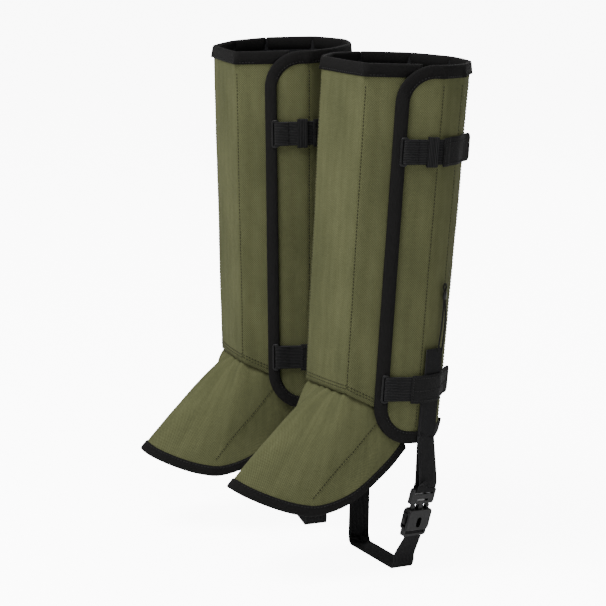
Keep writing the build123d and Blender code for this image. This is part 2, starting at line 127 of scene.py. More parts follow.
MEDIAL = polar(-90, RADIUS)
SHIN_RIGHT = polar(-58, RADIUS + 1)
SHIN = polar(-25, RADIUS)
FRONT_FOLD = polar(37, RADIUS)
SIDE_AIM = polar(97, RADIUS - 3)
SIDE_ALONG = unit(SIDE_AIM - FRONT_FOLD)
SIDE_OUT = outward(FRONT_FOLD, SIDE_AIM)
FRONT_EDGE = FRONT_FOLD + SIDE_ALONG * FRONT_END
FLAP_EDGE = FRONT_FOLD + SIDE_ALONG * FLAP_START + SIDE_OUT * FLAP_RISE
FLAP_SIDE = FRONT_FOLD + SIDE_ALONG * FLAP_FOLD + SIDE_OUT * FLAP_RISE
FLAP_REAR = polar(119, RADIUS + 3)
REAR_HINGE = polar(150, RADIUS)
REAR = polar(187, RADIUS - 2)
REAR_RIGHT = polar(228, RADIUS - 1)


def spot(points, z):
    """Section points carried to height z, where the tube is narrower and further forward."""
    points = np.asarray(points, float)
    z = np.broadcast_to(np.asarray(z, float), points.shape[:-1])
    scale = 1 - TAPER * (TOP - z)
    return np.stack((points[..., 0] * scale, points[..., 1] * scale + ANKLE_Y + LEAN * (z - ANKLE_Z), z), -1)


class Path:
    """A panel's section line with its folds softened: place(s) and normal(s) for s in millimetres. seed picks
    the panel's own waves."""

    def __init__(self, corners, soft, seed, before=None, after=None, bulge=1.2):
        corners = [np.asarray(c, float) for c in corners]
        lead = [before] if before is not None else [corners[0] - unit(corners[1] - corners[0]) * 20]
        tail = [after] if after is not None else [corners[-1] + unit(corners[-1] - corners[-2]) * 20]
        full = lead + corners + tail
        lengths = [np.linalg.norm(b - a) for a, b in zip(full, full[1:])]
        self.folds = np.cumsum([0] + lengths[1:-1])
        self.length = self.folds[-1]
        step = 0.5
        stops = np.cumsum([0] + lengths) - lengths[0]
        s = np.arange(stops[0], stops[-1], step)
        raw = np.stack([np.interp(s, stops, [p[k] for p in full]) for k in (0, 1)], -1)
        reach = int(4 * soft / step)
        kernel = np.exp(-0.5 * (np.arange(-reach, reach + 1) * step / soft) ** 2)
        kernel /= kernel.sum()
        padded = np.pad(raw, ((reach, reach), (0, 0)), mode="edge")
        smooth = np.stack([np.convolve(padded[:, k], kernel, "valid") for k in (0, 1)], -1)
        slope = np.gradient(smooth, axis=0)
        normals = outward(np.zeros_like(slope), slope)
        swell = np.zeros(len(s))
        for a, b in zip(self.folds, self.folds[1:]):
            inside = (s > a) & (s < b)
            t = (s[inside] - a) / (b - a)
            swell[inside] = np.sin(math.pi * t) ** 1.5 * bulge * min(1, (b - a) / 50)
        self.seed = seed
        self.s = s
        self.points = smooth + normals * swell[:, None]
        self.normals = normals

    def place(self, s):
        return np.stack([np.interp(s, self.s, self.points[:, k]) for k in (0, 1)], -1)

    def normal(self, s):
        return unit(np.stack([np.interp(s, self.s, self.normals[:, k]) for k in (0, 1)], -1))


FRONT_LINE = Path([MEDIAL, SHIN_RIGHT, SHIN, FRONT_FOLD, FRONT_EDGE], 2.6, 3.0, before=REAR_RIGHT)
FLAP_LINE = Path([FLAP_EDGE, FLAP_SIDE, FLAP_REAR, REAR_HINGE], 2.6, 11.0, after=REAR)
BACK_LINE = Path([REAR_HINGE, REAR, REAR_RIGHT, MEDIAL], 3.2, 19.0, before=FLAP_REAR, after=SHIN_RIGHT)


def ripple(s, z, seed):
    """Slight waves of cloth over its stiffener, in millimetres outwards."""
    flat_s, flat_z = np.broadcast_arrays(s, z)
    out = np.empty(flat_s.size)
    for i, (a, b) in enumerate(zip(flat_s.ravel(), flat_z.ravel())):
        broad = noise.noise(Vector((a * 0.022, b * 0.011, seed)))
        fine = noise.noise(Vector((a * 0.07, b * 0.035, seed + 7)))
        out[i] = 0.75 * broad + 0.28 * fine
    return out.reshape(flat_s.shape)


def panel_point(line, s, z, depth):
    """A point of a panel at distance s round the leg, height z and depth under the outer face."""
    s, z = np.broadcast_arrays(np.asarray(s, float), np.asarray(z, float))
    lift = ripple(s, z, line.seed) - depth
    return spot(line.place(s) + line.normal(s) * lift[..., None], z)


class Leg:
    """One gaiter of the pair: its place in the row frame and the names of its bodies and nodes."""

    def __init__(self, name, sign):
        self.name = name
        lean = Matrix.Rotation(math.radians(-sign * LEAN_SPREAD), 4, "X")
        about_ankle = Matrix.Translation((0, 0, ANKLE_Z)) @ lean @ Matrix.Translation((0, 0, -ANKLE_Z))
        foot = Vector((sign * HALF_STANCE, sign * HALF_STEP, 0)) + Vector(PAIR_OFFSET)
        place = Matrix.Translation(foot) @ Matrix.Rotation(math.radians(sign * YAW), 4, "Z") @ about_ankle
        self.matrix = np.array(Matrix.Scale(MM, 4) @ place)

    def row(self, points):
        points = np.asarray(points, float)
        return points @ self.matrix[:3, :3].T + self.matrix[:3, 3]

    def body(self, name):
        return f"{self.name}_{name}"

    def mesh(self, name, points, faces, uvs, material, smooth=True):
        """A new object from points in millimetres in this gaiter's frame; uvs are one per point."""
        data = bpy.data.meshes.new(f"{self.name}_{name}")
        data.from_pydata(self.row(points).tolist(), [], [tuple(map(int, f)) for f in faces])
        layer = data.uv_layers.new(name="cloth")
        loops = np.empty(len(data.loops), int)
        data.loops.foreach_get("vertex_index", loops)
        layer.data.foreach_set("uv", (np.asarray(uvs, float)[loops] * MM).ravel())
        data.polygons.foreach_set("use_smooth", [smooth] * len(data.polygons))
        data.materials.append(material)
        data.update()
        piece = bpy.data.objects.new(f"{self.name}_{name}_look", data)
        bpy.context.collection.objects.link(piece)
        return piece

    def finish(self, piece, body, *nodes, slot=None):
        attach(piece, self.body(body))
        if nodes:
            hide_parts(*[self.body(node) for node in nodes])


def slab(outer, inner, uv):
    """A closed sheet from two grids of points, its outer and inner faces, with the rim between them."""
    rows, columns = outer.shape[:2]
    count = rows * columns
    index = np.arange(count).reshape(rows, columns)
    faces = []
    for a in range(rows - 1):
        for b in range(columns - 1):
            quad = (index[a, b], index[a + 1, b], index[a + 1, b + 1], index[a, b + 1])
            faces.append(quad)
            faces.append(tuple(q + count for q in quad[::-1]))
    rim = list(index[0, :]) + list(index[1:, -1]) + list(index[-1, -2::-1]) + list(index[-2:0:-1, 0])
    for a, b in zip(rim, rim[1:] + rim[:1]):
        faces.append((a, b, b + count, a + count))
    points = np.concatenate((outer.reshape(-1, 3), inner.reshape(-1, 3)))
    return points, faces, np.concatenate((uv.reshape(-1, 2), uv.reshape(-1, 2)))


def tube(rings, uv_along, uv_round, closed=False):
    """A closed solid through rings of points, with capped ends unless the rings themselves close up."""
    rings = np.asarray(rings)
    count, size = rings.shape[:2]
    index = np.arange(count * size).reshape(count, size)
    faces = []
    for a in range(count if closed else count - 1):
        for b in range(size):
            after, beside = (a + 1) % count, (b + 1) % size
            faces.append((index[a, b], index[a, beside], index[after, beside], index[after, b]))
    if not closed:
        faces.append(tuple(index[0, ::-1]))
        faces.append(tuple(index[-1]))
    along, around = np.meshgrid(uv_along, uv_round, indexing="ij")
    return rings.reshape(-1, 3), faces, np.stack((around, along), -1).reshape(-1, 2)


def lengths_along(points):
    steps = np.linalg.norm(np.diff(points, axis=0), axis=1)
    return np.concatenate(([0], np.cumsum(steps)))


# Materials. Cloth patterns follow the pieces' own cloth coordinates, in metres of cloth.


def node(tree, kind, **settings):
    made = tree.nodes.new(kind)
    for key, value in settings.items():
        if key in made.inputs:
            made.inputs[key].default_value = value
        else:
            setattr(made, key, value)
    return made


def new_material(name, rough, specular):
    material = bpy.data.materials.new(name)
    material.use_nodes = True
    tree = material.node_tree
    shader = tree.nodes["Principled BSDF"]
    shader.inputs["Roughness"].default_value = rough
    shader.inputs["Specular IOR Level"].default_value = specular
    return material, tree, shader


def ranged(tree, value, low=0.0, high=1.0, to_low=0.0, to_high=1.0):
    """value carried from the range low to high into the range to_low to to_high."""
    ramp = node(tree, "ShaderNodeMapRange", **{"From Min": low, "From Max": high, "To Min": to_low,
                                               "To Max": to_high})
    tree.links.new(value, ramp.inputs["Value"])
    return ramp.outputs["Result"]


def mixed(tree, factor, dark, light, low=0.0, high=1.0):
    """A colour from dark to light as factor goes from low to high."""
    blend = node(tree, "ShaderNodeMix", data_type="RGBA")
    tree.links.new(ranged(tree, factor, low, high), blend.inputs["Factor"])
    blend.inputs[6].default_value = (*dark, 1)
    blend.inputs[7].default_value = (*light, 1)
    return blend.outputs[2]


def multiplied(tree, a, b, amount):
    """Colour a darkened by colour b, by amount."""
    blend = node(tree, "ShaderNodeMix", data_type="RGBA", blend_type="MULTIPLY")
    blend.inputs["Factor"].default_value = amount
    tree.links.new(a, blend.inputs[6])
    tree.links.new(b, blend.inputs[7])
    return blend.outputs[2]


def mapped(tree, scale, coordinates="UV"):
    """Cloth or object coordinates times scale, one number or one for each direction."""
    coords = node(tree, "ShaderNodeTexCoord")
    mapping = node(tree, "ShaderNodeMapping")
    mapping.inputs["Scale"].default_value = scale if hasattr(scale, "__len__") else (scale,) * 3
    tree.links.new(coords.outputs[coordinates], mapping.inputs["Vector"])
    return mapping.outputs["Vector"]


def noise_of(tree, vector, detail=3.0):
    texture = node(tree, "ShaderNodeTexNoise", Scale=1.0, Detail=detail, Roughness=0.55)
    tree.links.new(vector, texture.inputs["Vector"])
    return texture.outputs["Fac"]


def bands_of(tree, vector, direction, scale, distortion=0.0):
    texture = node(tree, "ShaderNodeTexWave", wave_type="BANDS", bands_direction=direction, Scale=scale,
                   Distortion=distortion)
    tree.links.new(vector, texture.inputs["Vector"])
    return texture.outputs["Fac"]


def maths(tree, operation, a, b):
    made = node(tree, "ShaderNodeMath", operation=operation)
    for i, value in enumerate((a, b)):
        if hasattr(value, "is_output"):
            tree.links.new(value, made.inputs[i])
        else:
            made.inputs[i].default_value = value
    return made.outputs[0]


def bumped(tree, shader, height, strength, distance):
    bump = node(tree, "ShaderNodeBump", Strength=strength, Distance=distance)
    tree.links.new(height, bump.inputs["Height"])
    tree.links.new(bump.outputs["Normal"], shader.inputs["Normal"])


# A wave texture at scale 1 has 20 radians of its wave in one unit.
BAND = math.tau / 20


def weave_of(tree, threads):
    """Over-and-under threads: high where the warp or the weft is on top. threads is how many in a metre."""
    cloth = mapped(tree, 1.0)
    warp = bands_of(tree, cloth, "X", threads * BAND)
    weft = bands_of(tree, cloth, "Y", threads * BAND)
    crossed = maths(tree, "MULTIPLY", maths(tree, "SUBTRACT", warp, 0.5),
                    maths(tree, "SUBTRACT", weft, 0.5))
    return maths(tree, "ADD", maths(tree, "MULTIPLY", crossed, 2.0), 0.5)


def olive_cloth():
    """Coarse olive pack cloth: basket weave, long slubs up the cloth and a faint watery moire."""
    material, tree, shader = new_material("olive_cloth", 0.9, 0.04)
    weave = weave_of(tree, 430)
    slub = noise_of(tree, mapped(tree, (900, 45, 1)), 2.0)
    cross = noise_of(tree, mapped(tree, (60, 900, 1)), 2.0)
    moire = bands_of(tree, mapped(tree, (1, 0.12, 1)), "X", 24.0, 3.5)
    cloud = noise_of(tree, mapped(tree, (26, 12, 1)), 4.0)
    base = mixed(tree, cloud, (0.064, 0.068, 0.033), (0.088, 0.092, 0.045), 0.3, 0.7)
    for factor, dark, low, high, amount in ((slub, (0.72, 0.72, 0.70), 0.3, 0.65, 0.35),
                                            (cross, (0.86, 0.86, 0.85), 0.35, 0.6, 0.4),
                                            (moire, (0.9, 0.9, 0.88), 0.0, 1.0, 0.5),
                                            (weave, (0.5, 0.5, 0.47), 0.2, 0.8, 0.85)):
        base = multiplied(tree, base, mixed(tree, factor, dark, (1, 1, 1), low, high), amount)
    tree.links.new(base, shader.inputs["Base Color"])
    height = maths(tree, "ADD", weave, maths(tree, "MULTIPLY", slub, 0.8))
    bumped(tree, shader, height, 0.55, 0.0004)
    return material


def dark_cloth(name, dark, light, rough=0.8, threads=0, ribs=0, across="X"):
    """Black woven cloth with threads a metre, or with ribs a metre that follow each other in direction
    across. dark is painted shade between the threads or ribs and light is a painted highlight on top of them,
    both set by the bump height."""
    material, tree, shader = new_material(name, rough, 0.08)
    fuzz = noise_of(tree, mapped(tree, 700), 3.0)
    height = bands_of(tree, mapped(tree, 1.0), across, ribs * BAND) if ribs else weave_of(tree, threads)
    # painted shade in the low parts of the weave or ribs and painted highlight on their tops, from the same
    # height as the bumps
    colour = mixed(tree, height, dark, light, 0.1, 0.9)
    colour = multiplied(tree, colour, mixed(tree, fuzz, (0.75, 0.75, 0.75), (1, 1, 1), 0.3, 0.7), 0.8)
    tree.links.new(colour, shader.inputs["Base Color"])
    bumped(tree, shader, maths(tree, "ADD", height, maths(tree, "MULTIPLY", fuzz, 0.5)), 0.6, 0.0004)
    return material


def plastic(name, colour, light, rough):
    """Satin moulded plastic with a fine spark-eroded grain and paler rubbed patches."""
    material, tree, shader = new_material(name, rough, 0.16)
    grain = noise_of(tree, mapped(tree, 2400, "Object"), 2.0)
    wear = noise_of(tree, mapped(tree, 90, "Object"), 4.0)
    tree.links.new(mixed(tree, wear, colour, light, 0.45, 0.8), shader.inputs["Base Color"])
    tree.links.new(ranged(tree, wear, to_low=rough - 0.08, to_high=rough + 0.1), shader.inputs["Roughness"])
    bumped(tree, shader, grain, 0.12, 0.0002)
    return material


OLIVE = olive_cloth()
# each black cloth's two colours below are painted shade between its threads or ribs and painted highlight on
# top of them
LINING = dark_cloth("black_lining_cloth", (0.005, 0.005, 0.0055), (0.010, 0.010, 0.011), 0.7, threads=900)
BINDING = dark_cloth("black_binding_cloth", (0.0025, 0.0024, 0.0024), (0.0060, 0.0057, 0.0055), ribs=1100,
                     across="Y")
WEBBING = dark_cloth("black_ribbed_webbing", (0.0018, 0.0018, 0.0019), (0.0150, 0.0150, 0.0155),
                     ribs=1000 / STRAP_RIB)
TAB = dark_cloth("black_tab_cloth", (0.0045, 0.0045, 0.0045), (0.0090, 0.0090, 0.0090), 0.75, threads=1100)
PILE = dark_cloth("black_hook_pile", (0.004, 0.004, 0.004), (0.012, 0.012, 0.012), 0.95, threads=1500)
THREAD = dark_cloth("olive_thread", (0.010, 0.011, 0.005), (0.026, 0.027, 0.012), 0.6, threads=3000)
BLACK_THREAD = dark_cloth("black_thread", (0.006, 0.006, 0.006), (0.022, 0.022, 0.022), 0.6, threads=3000)
CORD = dark_cloth("dark_cord", (0.004, 0.004, 0.004), (0.014, 0.014, 0.013), 0.6, threads=2500)
HARD_BLACK = plastic("black_buckle_plastic", (0.003, 0.003, 0.0032), (0.006, 0.006, 0.0063), 0.42)
STAY_SHEET = plastic("clear_stay_sheet", (0.45, 0.46, 0.44), (0.6, 0.6, 0.58), 0.45)


# Panels. Each layer is a grid of columns round the leg, and every column has its own lowest and highest
# point, which is how the flap gets its rounded corners.


def crease_dip(line, s):
    """How far the cloth is pulled in at the stitched creases."""
    dip = np.zeros_like(np.asarray(s, float))
    for fold in line.folds:
        dip += CREASE * np.exp(-0.5 * ((s - fold) / 1.3) ** 2)
    return dip


def columns_of(start, end, step, folds):
    """Places round the leg from start to end, closer together at the folds."""
    count = max(2, int(round((end - start) / step)) + 1)
    near = [fold + offset for fold in folds for offset in (-2.6, -1.3, 0, 1.3, 2.6)]
    stops = [*np.linspace(start, end, count), *(stop for stop in near if start < stop < end)]
    return np.unique(np.round(stops, 3))


def corner_trim(s, start, radius):
    """How far a rounded corner cuts into a column at s."""
    left = np.clip(radius - (s - start), 0, radius)
    return radius - np.sqrt(np.maximum(radius ** 2 - left ** 2, 0))


def panel_layer(leg, name, line, start, end, low, depth, thick, material, corners=None):
    """One layer of a panel, a closed sheet between depth and depth + thick under the outer face. low is a
    height or gives the lower edge's height at s; corners are the radii of a free edge's two corners."""
    s = columns_of(start, end, 4.0, line.folds)
    lowest = low(s) if callable(low) else np.full(len(s), low)
    highest = np.full(len(s), TOP)
    if corners:
        bends = [start + radius * (1 - np.cos(np.linspace(0, math.pi / 2, 12))) for radius in corners]
        s = np.unique(np.concatenate((s, *bends)))
        lowest = low + corner_trim(s, start, corners[0])
        highest = TOP - corner_trim(s, start, corners[1])
    share = np.linspace(0, 1, 74)
    z = lowest[None, :] + share[:, None] * (highest - lowest)[None, :]
    along = np.broadcast_to(s, z.shape)
    dip = crease_dip(line, along)
    outer = panel_point(line, along, z, depth + dip)
    inner = panel_point(line, along, z, depth + thick + dip)
    return leg.mesh(name, *slab(outer, inner, np.stack((along, z), -1)), material)


def crossing(leg, piece, body, corner, neighbour):
    """Bakes a layer's placement into its mesh. It also works out the way across the hinge at a corner, from
    the back panel to body, square to the hinge line and leaning inwards, but nothing is done with it."""
    before, after = HINGE_REACH - 1, 3.0
    hinge = unit(spot(corner, TOP) - spot(corner, FRONT_LOW))
    along = unit(neighbour - corner)
    across = np.append(unit(along - unit(corner)), 0.0)
    across = unit(across - hinge * (across * hinge).sum())
    middle = spot(corner, (FRONT_LOW + TOP) / 2)
    lean = across[0] * along[0] + across[1] * along[1]
    leg.body("back")
    leg.body(body)
    leg.row(middle - across * before * lean)
    leg.row(middle + across * after * lean)
    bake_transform(piece)


LAYERS = (("cover", 0.0, 0.8, OLIVE, "olive_fabric"), ("lining", 2.3, 0.7, LINING, "black_lining"))


def front_low(s):
    """The front panel's lower edge, which drops towards the flap past the front fold."""
    return FRONT_LOW - EDGE_DROP * np.clip((s - FRONT_LINE.folds[3]) / FLAP_START, 0, 1.2)


def hinged_panel(leg, body, line, start, end, low, corner, neighbour, corners=None):
    """The cloth and the lining of a panel that swings on the back panel."""
    for layer, depth, thick, material, slot in LAYERS:
        piece = panel_layer(leg, f"{body}_{layer}", line, start, end, low, depth, thick, material, corners)
        crossing(leg, piece, body, corner, neighbour)
        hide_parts(leg.body(f"{body}_{layer}"))


def panels(leg):
    hinged_panel(leg, "front", FRONT_LINE, -HINGE_REACH, FRONT_LINE.length, front_low, MEDIAL, SHIN_RIGHT)
    hinged_panel(leg, "flap", FLAP_LINE, 0.0, FLAP_LINE.length + HINGE_REACH, BACK_LOW, REAR_HINGE, FLAP_REAR,
                 (FLAP_LOW_CORNER, FLAP_CORNER))
    # the back panel lies a hair under its neighbours where they overlap it at the hinges
    inset, under = 0.6, 0.25
    for layer, depth, thick, material, slot in LAYERS:
        piece = panel_layer(leg, f"back_{layer}", BACK_LINE, inset, BACK_LINE.length - inset, BACK_LOW,
                            depth + under, thick, material)
        leg.finish(piece, "back", f"back_{layer}", slot=slot)


def stay_plates(leg):
    """Thin clear plates between the cloth and the lining, one for each flat of the panel."""
    for body, line, start, low in (("front", FRONT_LINE, 0, FRONT_LOW),
                                   ("flap", FLAP_LINE, TAPE_WIDTH, BACK_LOW + 6),
                                   ("back", BACK_LINE, 0, BACK_LOW)):
        plates = []
        for a, b in zip(line.folds, line.folds[1:]):
            along, height = np.meshgrid(np.linspace(max(a, start) + 4, b - 4, 10),
                                        np.linspace(low + 8, TOP - 14, 40))
            plates.append(slab(panel_point(line, along, height, 1.0), panel_point(line, along, height, 2.1),
                               np.stack((along, height), -1)))
        piece = leg.mesh(f"{body}_stays", *joined(plates), STAY_SHEET)
        leg.finish(piece, body, f"{body}_stays", slot="stiffener_sheet")


# Edge work: binding folded over an edge, and rows of stitches.


def folded_tape(frames, width, thick):
    """A tape folded over an edge of the given thickness. frames are its edge points, outward normals and
    inward directions."""
    points, normals, inwards = frames
    lift = 0.25
    # the section, as (how far in from the edge, how far outwards), round the fold
    section = [(width, lift), (width - 0.5, lift + 0.75), (width * 0.5, lift + 0.9), (1.2, lift + 0.85),
               (-0.5, lift + 0.3), (-1.1, -thick / 2), (-0.5, 0.1 - thick - lift), (1.2, -thick - lift - 0.7),
               (width * 0.5, -thick - lift - 0.75), (width - 0.5, -thick - lift - 0.6),
               (width, -thick - lift), (1.0, -thick - 0.05), (0.2, -thick / 2), (1.0, 0.05)]
    rings = np.stack([points + inwards * a + normals * b for a, b in section], 1)
    return tube(rings, lengths_along(rings[:, 0]), lengths_along(np.array(section)))


def panel_normal(line, s, z):
    """The cloth's outward normal at a point of a panel."""
    side = panel_point(line, s + 1.0, z, 0.0) - panel_point(line, s - 1.0, z, 0.0)
    up = panel_point(line, s, z + 1.0, 0.0) - panel_point(line, s, z - 1.0, 0.0)
    return unit(np.cross(side, up))


def edge_frames(line, s, z, inward_s, inward_z):
    """Frames along an edge of a panel. The inward direction is given as steps in s and z for each point."""
    s, z = np.broadcast_arrays(np.asarray(s, float), np.asarray(z, float))
    here = panel_point(line, s, z, crease_dip(line, s))
    there = panel_point(line, s + inward_s * 2, z + inward_z * 2, 0.0)
    return here, panel_normal(line, s, z), unit(there - here)


def binding(leg, body, *edges):
    """Tape folded over a panel's edges, each given by its frames."""
    piece = leg.mesh(f"{body}_binding", *joined([folded_tape(frames, TAPE_WIDTH, WALL) for frames in edges]),
                     BINDING)
    leg.finish(piece, body, f"{body}_binding", slot="binding_tape")


def stitch_row(points, normals, length=2.3, gap=1.0, thick=0.5, rise=0.25):
    """Small raised stitches along a line of points; returns a list of (points, faces, uvs)."""
    dist = lengths_along(points)
    made = []
    for start in np.arange(0.8, dist[-1] - length, length + gap):
        stops = start + length * np.array([0.0, 0.18, 0.5, 0.82, 1.0])
        size = np.array([0.35, 0.9, 1.0, 0.9, 0.35]) * thick
        centre = np.stack([np.interp(stops, dist, points[:, k]) for k in range(3)], -1)
        normal = unit(np.stack([np.interp(stops, dist, normals[:, k]) for k in range(3)], -1))
        centre = centre + normal * rise * np.array([-0.6, 0.6, 1.0, 0.6, -0.6])[:, None]
        along = unit(centre[-1] - centre[0])
        side = unit(np.cross(along, normal))
        angles = np.arange(6) * math.tau / 6
        rings = centre[:, None] + size[:, None, None] * (np.cos(angles)[:, None] * side[:, None]
                                                         + np.sin(angles)[:, None] * normal[:, None] * 0.8)
        made.append(tube(rings, stops, angles * thick))
    return made


def joined(parts):
    """Several (points, faces, uvs) as one."""
    points, faces, uvs, count = [], [], [], 0
    for p, f, u in parts:
        points.append(p)
        faces += [tuple(int(q) + count for q in face) for face in f]
        uvs.append(u)
        count += len(p)
    return np.concatenate(points), faces, np.concatenate(uvs)


def stitched(leg, name, body, rows, thread, slot, **spacing):
    """One piece of stitches along rows, each given by its points and normals."""
    piece = leg.mesh(name, *joined([part for row in rows for part in stitch_row(*row, **spacing)]), thread)
    leg.finish(piece, body, slot=slot)


def line_on_panel(line, s, z, lift=0.0):
    """Points and outward normals along a line on a panel."""
    s, z = np.broadcast_arrays(np.asarray(s, float), np.asarray(z, float))
    return panel_point(line, s, z, crease_dip(line, s) - lift), panel_normal(line, s, z)


def flap_outline(inset, step=3.0):
    """(s, z, inward_s, inward_z) round the flap's free edge, from the top hinge side to the bottom one."""
    def bend(corner, z, first):
        radius = corner - inset
        return [(corner + radius * math.cos(a), z + radius * math.sin(a), -math.cos(a), -math.sin(a))
                for a in np.radians(np.linspace(first, first + 90, 16))]

    end = FLAP_LINE.length - HINGE_CLEAR
    high, low = TOP - FLAP_CORNER, BACK_LOW + FLAP_LOW_CORNER
    outline = [(s, TOP - inset, 0, -1) for s in np.arange(end, FLAP_CORNER, -step)]
    outline += bend(FLAP_CORNER, high, 90)
    outline += [(inset, z, 1, 0) for z in np.arange(high - step, low, -step)]
    outline += bend(FLAP_LOW_CORNER, low, 180)
    outline += [(s, BACK_LOW + inset, 0, 1) for s in np.arange(FLAP_LOW_CORNER + step, end, step)]
    return np.array(outline).T


def bindings(leg):
    s, z, inward_s, inward_z = flap_outline(0.0)
    binding(leg, "flap", edge_frames(FLAP_LINE, s, z, inward_s, inward_z))
    s = np.linspace(HINGE_CLEAR, FRONT_LINE.length, 70)
    binding(leg, "front", edge_frames(FRONT_LINE, s, TOP, 0.0, -1.0))
    s = np.linspace(HINGE_CLEAR, BACK_LINE.length - HINGE_CLEAR, 90)
    binding(leg, "back", edge_frames(BACK_LINE, s, TOP, 0.0, -1.0),
            edge_frames(BACK_LINE, s, BACK_LOW, 0.0, 1.0))


def panel_stitches(leg):
    """Rows of stitches beside the creases, along the bindings and above the front panel's lower edge."""
    high = TOP - TAPE_WIDTH - 3
    z = np.arange(FRONT_LOW + 4, high, 3.0)
    rows = [line_on_panel(FRONT_LINE, fold, z) for fold in (*FRONT_LINE.folds[1:-1], 5.0)]
    s = np.arange(6.0, FRONT_LINE.length - 4, 3.0)
    rows += [line_on_panel(FRONT_LINE, s, front_low(s) + rise) for rise in (5.0, 8.0)]
    stitched(leg, "front_stitches", "front", rows, THREAD, "olive_fabric")
    z = np.arange(BACK_LOW + TAPE_WIDTH + 3, high, 3.0)
    rows = [line_on_panel(FLAP_LINE, fold, z) for fold in (*FLAP_LINE.folds[1:-1], FLAP_LINE.length - 4.0)]
    stitched(leg, "flap_stitches", "flap", rows, THREAD, "olive_fabric")
    rows = [line_on_panel(BACK_LINE, fold, z) for fold in BACK_LINE.folds[1:-1]]
    stitched(leg, "back_stitches", "back", rows, THREAD, "olive_fabric")
    # black thread along the binding tapes
    inset, on_tape = TAPE_WIDTH - STITCH_INSET, 0.95
    s, z, _, _ = flap_outline(inset)
    stitched(leg, "flap_binding_stitches", "flap", [line_on_panel(FLAP_LINE, s, z, on_tape)], BLACK_THREAD,
             "binding_tape")
    s = np.arange(3.0, FRONT_LINE.length - 30, 3.0)
    stitched(leg, "front_binding_stitches", "front", [line_on_panel(FRONT_LINE, s, TOP - inset, on_tape)],
             BLACK_THREAD, "binding_tape")
    s = np.arange(3.0, BACK_LINE.length - 3, 3.0)
    rows = [line_on_panel(BACK_LINE, s, height, on_tape) for height in (TOP - inset, BACK_LOW + inset)]
    stitched(leg, "back_binding_stitches", "back", rows, BLACK_THREAD, "binding_tape")


# Straps and webbing: flat bands swept along a line, with cords woven in along their length.


def smooth_line(points, per=8):
    """A Catmull-Rom curve through the points."""
    points = np.asarray(points, float)
    full = np.concatenate((points[:1] * 2 - points[1:2], points, points[-1:] * 2 - points[-2:-1]))
    made = [0.5 * (2 * b + (c - a) * t + (2 * a - 5 * b + 4 * c - d) * t ** 2
                   + (3 * b - a - 3 * c + d) * t ** 3)
            for a, b, c, d in zip(full, full[1:], full[2:], full[3:])
            for t in np.linspace(0, 1, per, endpoint=False)]
    return np.array([*made, points[-1]])


def band_profile(width, thick, pitch=0.0, rise=0.0):
    """Half sections across a band: offsets across it and heights of its upper face."""
    if pitch:
        across = np.linspace(-width / 2 + 0.35, width / 2 - 0.35, int(width / pitch) * 6 + 1)
        height = thick / 2 + rise * np.abs(np.sin((across + width / 2) * math.pi / pitch)) - rise
    else:
        across = np.linspace(-width / 2 + 0.3, width / 2 - 0.3, 13)
        height = np.full(13, thick / 2)
    across = np.concatenate(([-width / 2], across, [width / 2]))
    height = np.concatenate(([thick * 0.15], height, [thick * 0.15]))
    return across, height


def band(points, sides, width, thick, pitch=0.0, rise=0.0, shares=1.0):
    """A closed band along points; sides point across it. shares of its width are kept at each point."""
    points, sides = np.asarray(points, float), unit(sides)
    tangent = unit(np.gradient(points, axis=0))
    normal = unit(np.cross(tangent, sides))
    across, height = band_profile(width, thick, pitch, rise)
    u = np.concatenate((across, across[::-1]))
    v = np.concatenate((height, -height[::-1]))
    kept = np.broadcast_to(shares, len(points))
    rings = points[:, None] + sides[:, None] * u[:, None] * kept[:, None, None] + normal[:, None] * v[:, None]
    return tube(rings, lengths_along(points), u)


def webbing(leg, name, line, sides, per, thick, rise):
    """Ribbed webbing on a smooth curve through the points of line, its sides kept square to the curve."""
    line, sides = smooth_line(line, per), smooth_line(sides, per)
    tangent = unit(np.gradient(line, axis=0))
    sides = unit(sides - tangent * (sides * tangent).sum(1)[:, None])
    return leg.mesh(name, *band(line, sides, WEB, thick, STRAP_RIB, rise), WEBBING)


def on_flap(s, z, lift):
    return panel_point(FLAP_LINE, s, z, -np.asarray(lift, float))


def up_on_flap(s, z):
    return unit(on_flap(s, np.add(z, 1.0), 0.0) - on_flap(s, np.subtract(z, 1.0), 0.0))


SIDE_LENGTH = FLAP_FOLD - FLAP_START
UPPER_TAB_START = SIDE_LENGTH + 2.5
LOWER_TAB_START = 36.0
WEB_ALONG = np.linalg.norm(FLAP_REAR - FLAP_SIDE) / 2


def strap(leg, name, z, ring_at, end):
    """Webbing folded round the ring's rear bar, with both of its layers going under the tab to end."""
    start = ring_at + RING_WIDTH
    low = STRAP_LIFT + WEB_THICK / 2
    high = RING_LIFT + RING_THICK + 0.25 + WEB_THICK / 2
    upper = STRAP_LIFT + WEB_THICK * 1.5 + 0.15
    middle = (low + high) / 2
    turn = (high - low) / 2
    centre = start - RING_BAR - 0.2
    bend = [(centre - turn * math.sin(a), middle - turn * math.cos(a)) for a in np.linspace(0, math.pi, 13)]
    line = [(end, low), (start + (end - start) * 0.6, low), (centre + 4, low)] + bend
    line += [(centre + 2.6, high), (start + 5, high - 0.9), (start + 9.5, upper + 0.5), (start + 13, upper),
             (end, upper)]
    flat = smooth_line(line, 4)
    points = on_flap(flat[:, 0], z, flat[:, 1])
    sides = up_on_flap(flat[:, 0], np.full(len(flat), z))
    piece = leg.mesh(name, *band(points, sides, WEB, WEB_THICK, STRAP_RIB, 0.32), WEBBING)
    leg.finish(piece, "flap", name, slot="ribbed_webbing")


